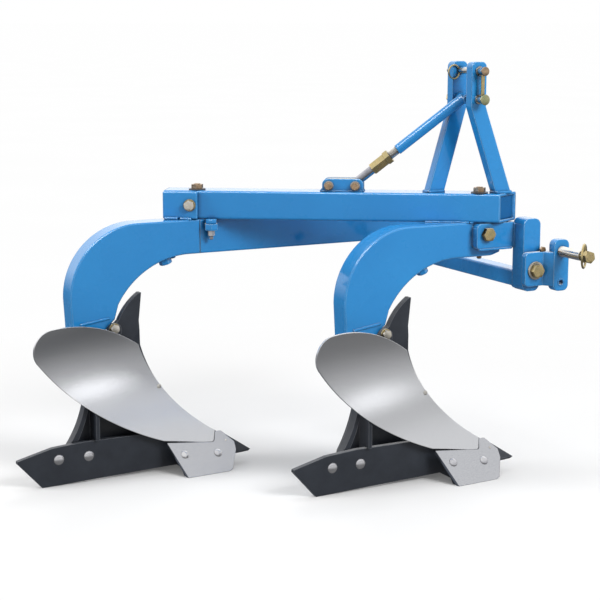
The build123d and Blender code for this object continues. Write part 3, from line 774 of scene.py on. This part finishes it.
# flat eye bar between the clevis plates
eyeHalf = clevisLook["eyeHalf"]
bar = roundBar(clevisLook["eyeRadius"], -eyeHalf, eyeHalf, 32, clevisLook["eyeSoft"])
deselectAll()
bpy.ops.mesh.primitive_cube_add(size=1)
plank = bpy.context.active_object
bakePlace(plank)
wide, length, thick = clevisLook["plank"]
plank.data.transform(Matrix.Translation((0.0, length / 2, 0.0)) @ Matrix.Diagonal((wide, length, thick, 1.0)))
softenEdges(plank, clevisLook["plankSoft"])
alongBeam = Matrix.Rotation(-beamLook["turn"], 4, "Z") @ Matrix.Rotation(-math.pi / 2, 4, "Z")
onEdge = alongBeam @ Matrix.Rotation(math.pi / 2, 4, "Y")
eyeAt = onBeam(clevisLook["rear"], beamLook["wide"] / 2, beamTop + clevisLook["eyeUp"])
for item in (bar, plank):
    item.data.materials.append(zinc)
    item.data.transform(onEdge)
    item.data.transform(Matrix.Translation(eyeAt))
joinPieces([bar, plank], "clevisEyeBar")
# thread on the brace stud
braceAlong = Vector((0.6452, -0.4379, 0.6260)).normalized()
studStart = fromLow("brace_stud", (0.0380, 0.0298, 0.0374)) - braceAlong * studBack
threadedStub("braceStudThread", studStart, braceAlong, material=sleeveSteel, **stubLook["stud"])
print("stage: frame bolts done")

# weld beads of the frame; a bead's number in this order is its seed
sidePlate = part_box("rear_side_plate")[0]
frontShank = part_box("front_shank")[0]
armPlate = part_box("right_arm_plate")[0]
beads = {"rearShankWeldA": seam(sidePlate, (0.0020, 0.0477, 0.0005), (0.0340, 0.0269, 0.0005)),
         "rearShankWeldB": seam(sidePlate, (0.0380, 0.0243, 0.0), (0.0650, 0.0068, 0.0)),
         "frontArmWeldA": seam(frontShank, (0.2799, 0.0645, 0.3550), (0.3799, -0.0005, 0.3550)),
         "frontArmWeldB": seam(frontShank, (0.3809, -0.0010, 0.3540), (0.4809, -0.0010, 0.3540)),
         "rightPlateWeld": seam(armPlate, (0.0059, -0.0005, 0.0), (0.1129, -0.0005, 0.0))}
footLook = {"long": 0.048, "wide": 0.026, "up": 0.002, "sunk": 0.003}
frontLow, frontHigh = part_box("mast_front_leg")
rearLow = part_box("mast_rear_leg")[0]
mastFeet = {"mastFrontFootWeld": Vector((frontHigh.x - footLook["long"], frontLow.y, frontLow.z)),
            "mastRearFootWeld": Vector((rearLow.x, rearLow.y + footLook["sunk"], rearLow.z))}
for name, corner in mastFeet.items():
    x, y, z = footLook["long"], footLook["wide"], footLook["up"]
    beads[name] = seam(corner, (0, y, z), (0, 0, z), (x, 0, z), (x, y, z), (0, y, z))
low = clevisLook["rear"] - clevisLook["weldPast"]
high = clevisLook["front"] + clevisLook["weldPast"]
past = clevisLook["weldTurn"]
for name, across, inward in (("clevisNearWeld", clevisLook["across"], clevisLook["weldIn"]),
                             ("clevisFarWeld", clevisFar, -clevisLook["weldIn"])):
    run = ((low - past, across + inward), (low, across), (high, across), (high + past, across + inward))
    beads[name] = [onBeam(along, place, beamTop + clevisLook["weldUp"]) for along, place in run]
barLook = {"rear": 0.0006, "front": 0.0007, "over": 0.001, "end": 0.001}
barLow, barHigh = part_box("lower_cross_bar")
rearX, frontX = barLow.x - barLook["rear"], barHigh.x + barLook["front"]
lowZ, highZ = barLow.z - barLook["over"], barHigh.z + barLook["over"]
barEnd = barLow.y + barLook["end"]
upright = seam(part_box("right_upright")[0], (-0.0006, 0.0440, 0.1180), (-0.0006, 0.0440, 0.1840))
for side, mirror in bothSides:
    beads[side + "UprightWeld"] = [mirrorY(place, mirror) for place in upright]
    run = ((rearX, lowZ), (rearX, highZ), (frontX, highZ), (frontX, lowZ), (rearX, lowZ))
    beads[side + "CrossBarWeld"] = [Vector((x, barEnd * mirror, z)) for x, z in run]
beads["leftPlateWeld"] = [mirrorY(place, -1) for place in beads["rightPlateWeld"]]
beads["leftRailWeld"] = seam(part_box("left_rail")[1], (-0.0871, 0.0005, 0.0), (-0.0001, 0.0005, 0.0))
beadSizes = {"rearShankWeldA": 0.0052, "rearShankWeldB": 0.0046,
             "mastFrontFootWeld": 0.0050, "mastRearFootWeld": 0.0050}
for index, (name, points) in enumerate(beads.items()):
    weldBead(name, points, beadSizes.get(name, weldLook["small"]), blue, index)
print("stage: weld beads done")

# heads, collars and nut of the mast's two pins
mastPins = {"lower": "brace_pin", "upper": "top_link_pin"}
mastHeads = {"lower": {"radius": 0.0140, "low": 0.0, "high": 0.0050, "finish": greenish},
             "upper": {"radius": 0.0118, "low": -0.001, "high": 0.0035, "finish": copper}}
collarLook = {"radius": 0.0125, "thick": 0.003, "soften": 0.0008, "headSoften": 0.0007}
for name, look in mastHeads.items():
    place = middleOf(mastPins[name])
    place.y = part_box(mastPins[name])[0].y
    head = roundBar(look["radius"], look["low"], look["high"], 48, collarLook["headSoften"])
    standPart(head, name + "MastPinHead", place, right, look["finish"])
for name in mastHeads:
    place = middleOf(mastPins[name])
    place.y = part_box("mast_front_leg")[0].y + collarLook["thick"]
    collar = roundBar(collarLook["radius"], 0.0, collarLook["thick"], 48, collarLook["soften"])
    standPart(collar, name + "MastPinCollar", place, right, pinSteel)
place = middleOf("brace_pin")
place.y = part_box("brace_pin")[1].y - boltLook["bracePinSunk"]
hexBolt("bracePinNut", place, left, boltLook["bracePin"], zinc, turn=0.2)

# raised rims round the spare holes low on the two lugs
spareLook = {"under": 0.085, "radius": 0.0092, "thick": 0.0021, "flat": 0.7}
for side, mirror in bothSides:
    place = middleOf(side + "_link_pin") + down * spareLook["under"]
    place.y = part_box("right_link_bracket")[0].y * mirror
    deselectAll()
    bpy.ops.mesh.primitive_torus_add(major_segments=40, minor_segments=12,
                                     major_radius=spareLook["radius"], minor_radius=spareLook["thick"])
    rim = bpy.context.active_object
    rim.data.transform(Matrix.Diagonal((1.0, 1.0, spareLook["flat"], 1.0)))
    standPart(rim, side + "SpareHoleRim", place, right * mirror, blue)
print("stage: mast pieces done")

# rivets, studs, bolts and welds of the two bodies, each told from its own node
shareFacing = Vector((0.055, -0.7861, 0.6157)).normalized()
rivetLook = {"share": 0.024, "shareRise": 0.0060, "landside": 0.027, "landsideRise": 0.0045,
             "stud": 0.007, "studRise": 0.0008, "shin": 0.0125, "shinRise": 0.0016}
sharePlaces = {"ShareRivetA": (0.04335, 0.04295, 0.0545), "ShareRivetB": (0.14195, 0.04365, 0.0466)}
studPlace = (0.17605, 0.06645, 0.0728)
bossPlace = (0.1422, 0.1145, 0.4054)
shinPlace = (0.2699, 0.1075, 0.234)
footPlaces = ((0.0250, 0.0005, 0.0900), (0.1079, 0.0005, 0.1021))
landsidePlaces = {"LandsideRivetA": (0.1136, 0.0, 0.0714), "LandsideRivetB": (0.1971, 0.0, 0.0712)}
for body in ("rear", "front"):
    for name, place in sharePlaces.items():
        spot = fromLow(body + "_share", place)
        domeRivet(body + name, spot, shareFacing, rivetLook["share"], rivetLook["shareRise"], chrome)
    spot = fromLow(body + "_share", studPlace)
    domeRivet(body + "ShareStud", spot, shareFacing, rivetLook["stud"], rivetLook["studRise"], pinSteel)
    for name, place in landsidePlaces.items():
        spot = fromLow(body + "_landside", place)
        domeRivet(body + name, spot, right, rivetLook["landside"], rivetLook["landsideRise"], chrome)
    spot = fromLow(body + "_frog", bossPlace)
    hexBolt(body + "BossBolt", spot, right, boltLook["body"], pale, zinc, turn=0.25, spread=1.12)
    board = nodes[body + "_moldboard"]
    aim = fromLow(body + "_frog", shinPlace)
    _, spot, facing, _ = board.closest_point_on_mesh(board.matrix_world.inverted() @ aim)
    if facing.y > 0:
        facing = -facing
    spot = board.matrix_world @ spot
    domeRivet(body + "ShinBolt", spot, facing, rivetLook["shin"], rivetLook["shinRise"], pinSteel)
    foot = seam(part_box(body + "_shank")[0], *footPlaces)
    weldBead(body + "FootWeldNear", foot, weldLook["frame"], blue, 1)
print("stage: body fasteners done")

# floor, sky, lights and camera
studioLook = {"floor": (0.66, 0.66, 0.66), "bounce": (0.38, 0.39, 0.41), "rough": 0.8, "size": 3000,
              "glow": 0.10, "near": 0.8, "far": 2.0,
              "sky": (1.0, 1.0, 1.0), "backLow": (0.09, 0.10, 0.12), "backHigh": (1.0, 1.0, 1.0),
              "skyStops": ((-0.36, 0.22), (-0.10, 0.68), (0.04, 0.74),
                           (0.20, 0.60), (0.42, 0.93), (0.90, 0.93)),
              "ambient": 0.50, "gloss": 0.86, "backGloss": 1.2}
material, tree, shader, coords = startMaterial("studioFloor")
away = addNode(tree, "ShaderNodeVectorMath", operation="LENGTH")
tree.links.new(coords, away.inputs[0])
farther = rangeNode(tree, away.outputs["Value"], studioLook["near"], studioLook["far"])
clouds = cloudNode(tree, coords, 0.8, 2.0, 0.5, toLow=0.99)
seen = addNode(tree, "ShaderNodeLightPath").outputs["Is Camera Ray"]
shown = mixColor(tree, farther, studioLook["floor"], (0.0, 0.0, 0.0))
tree.links.new(mixColor(tree, seen, studioLook["bounce"], shown), shader.inputs["Base Color"])
glow = rangeNode(tree, farther, 0.0, 1.0, studioLook["glow"], 1.0)
glowing = mathNode(tree, "MULTIPLY", mathNode(tree, "MULTIPLY", glow, clouds), seen)
tree.links.new(glowing, shader.inputs["Emission Strength"])
shader.inputs["Emission Color"].default_value = (1.0, 1.0, 1.0, 1.0)
shader.inputs["Roughness"].default_value = studioLook["rough"]
shader.inputs["Specular IOR Level"].default_value = 0.0
deselectAll()
bpy.ops.mesh.primitive_plane_add(size=studioLook["size"], location=(0, 0, 0))
floor = takeObject("studioFloor")
floor.data.materials.append(material)
floor.visible_glossy = False

world = bpy.data.worlds.new("studio")
bpy.context.scene.world = world
world.use_nodes = True
skyTree = world.node_tree
background = skyTree.nodes["Background"]
skyParts = addNode(skyTree, "ShaderNodeSeparateXYZ")
skyTree.links.new(addNode(skyTree, "ShaderNodeTexCoord").outputs["Generated"], skyParts.inputs[0])
skyPath = addNode(skyTree, "ShaderNodeLightPath")
toBack, toTop = skyParts.outputs[1], skyParts.outputs[2]
front = addNode(skyTree, "ShaderNodeValToRGB")
skyTree.links.new(rangeNode(skyTree, toTop, -1.0, 1.0), front.inputs["Fac"])
stops = studioLook["skyStops"]
while len(front.color_ramp.elements) < len(stops):
    front.color_ramp.elements.new(0.5)
for element, (sine, tone) in zip(front.color_ramp.elements, stops):
    element.position = (sine + 1) / 2
    element.color = (tone, tone, tone, 1.0)
raised = rangeNode(skyTree, toTop, -0.10, 0.12)
back = mixColor(skyTree, raised, studioLook["backLow"], studioLook["backHigh"])
around = mixColor(skyTree, rangeNode(skyTree, toBack, -0.1, 0.3), front.outputs["Color"], back)
skyColor = mixColor(skyTree, skyPath.outputs["Is Camera Ray"], around, studioLook["sky"])
skyTree.links.new(skyColor, background.inputs["Color"])
dimmed = rangeNode(skyTree, skyPath.outputs["Is Diffuse Ray"], 0.0, 1.0, 1.0, studioLook["ambient"])
behind = rangeNode(skyTree, toBack, 0.1, 0.4, studioLook["gloss"], studioLook["backGloss"])
glossed = mixColor(skyTree, skyPath.outputs["Is Glossy Ray"], (1.0, 1.0, 1.0), behind)
skyTree.links.new(mathNode(skyTree, "MULTIPLY", dimmed, glossed), background.inputs["Strength"])

lightLook = {
    "keyLight": {"place": (2.0, -4.6, 3.6), "aim": (0, 0, 0.45), "size": (2.2, 2.2), "power": 248},
    "rimLight": {"place": (-4.6, 1.2, 2.6), "aim": (-0.3, 0.1, 0.6), "size": (1.6, 1.6), "power": 120},
    "topLight": {"place": (0.0, 0.3, 5.2), "aim": (0, 0, 0.4), "size": (3.0, 2.4), "power": 80},
    "backLight": {"place": (2.6, 4.6, 3.2), "aim": (0, 0, 0.45), "size": (2.4, 2.0), "power": 80},
    "gleamLight": {"place": (-1.9, -1.9, 3.9), "aim": (0.1, -0.1, 0.6), "size": (5.2, 1.2), "power": 260}}
cardLook = {"rear": {"aim": (-0.33, 0.12, 0.30), "turn": 44.5, "power": 12.5},
            "front": {"aim": (0.28, -0.27, 0.30), "turn": 55.0, "power": 7}}
cardSize, cardAway, cardRise = (2.2, 1.3), 8.0, 0.04


def softLight(name, place, aim, size, power, shape="RECTANGLE"):
    data = bpy.data.lights.new(name, "AREA")
    data.shape = shape
    data.size, data.size_y = size
    data.energy = power
    light = bpy.data.objects.new(name, data)
    bpy.context.scene.collection.objects.link(light)
    light.location = place
    light.rotation_euler = (Vector(aim) - Vector(place)).to_track_quat("-Z", "Y").to_euler()
    return light


def seenOnlyBy(light, name, things):
    # the light shows in the gloss of these pieces and nowhere else
    group = bpy.data.collections.new(name)
    for thing in things:
        group.objects.link(thing)
    light.light_linking.receiver_collection = group
    light.visible_diffuse = False


roomLights = [softLight(name, **lightLook[name]) for name in ("keyLight", "rimLight", "topLight")]
# each board has a card of its own in front of it
for body, look in cardLook.items():
    angle = math.radians(look["turn"])
    away = Vector((math.sin(angle), -math.cos(angle), cardRise)) * cardAway
    place = Vector(look["aim"]) + away
    card = softLight(body + "BoardCard", place, look["aim"], cardSize, look["power"], "ELLIPSE")
    seenOnlyBy(card, body + "BoardOnly", [nodes[body + "_moldboard"]])
for name in ("front_shank", "front_frog", "left_rail", "right_link_bracket", "left_link_bracket",
             "right_arm_plate", "left_arm_plate", "right_upright", "left_upright"):
    nodes[name].visible_glossy = False
roomLights.append(softLight("backLight", **lightLook["backLight"]))
for light in roomLights:
    light.visible_glossy = False
# a long strip overhead gives the paint its pale lines along rounded edges and tubes
gleam = softLight("gleamLight", **lightLook["gleamLight"])
meshes = [thing for thing in bpy.context.scene.objects if thing.type == "MESH" and thing.data.materials]
seenOnlyBy(gleam, "paintedOnly", [thing for thing in meshes if thing.data.materials[0] == blue])

cameraLook = {"lens": 90, "sensor": 36, "reach": 4000,
              "place": (-1.767, -3.591, 1.215), "tilt": 79.5, "heading": -27}
cameraData = bpy.data.cameras.new("photoCamera")
cameraData.lens = cameraLook["lens"]
cameraData.sensor_width = cameraLook["sensor"]
cameraData.clip_end = cameraLook["reach"]
camera = bpy.data.objects.new("photoCamera", cameraData)
bpy.context.scene.collection.objects.link(camera)
camera.location = cameraLook["place"]
camera.rotation_euler = (math.radians(cameraLook["tilt"]), 0, math.radians(cameraLook["heading"]))
bpy.context.scene.camera = camera
bpy.context.scene.view_settings.view_transform = "Standard"
bpy.context.scene.view_settings.look = "None"
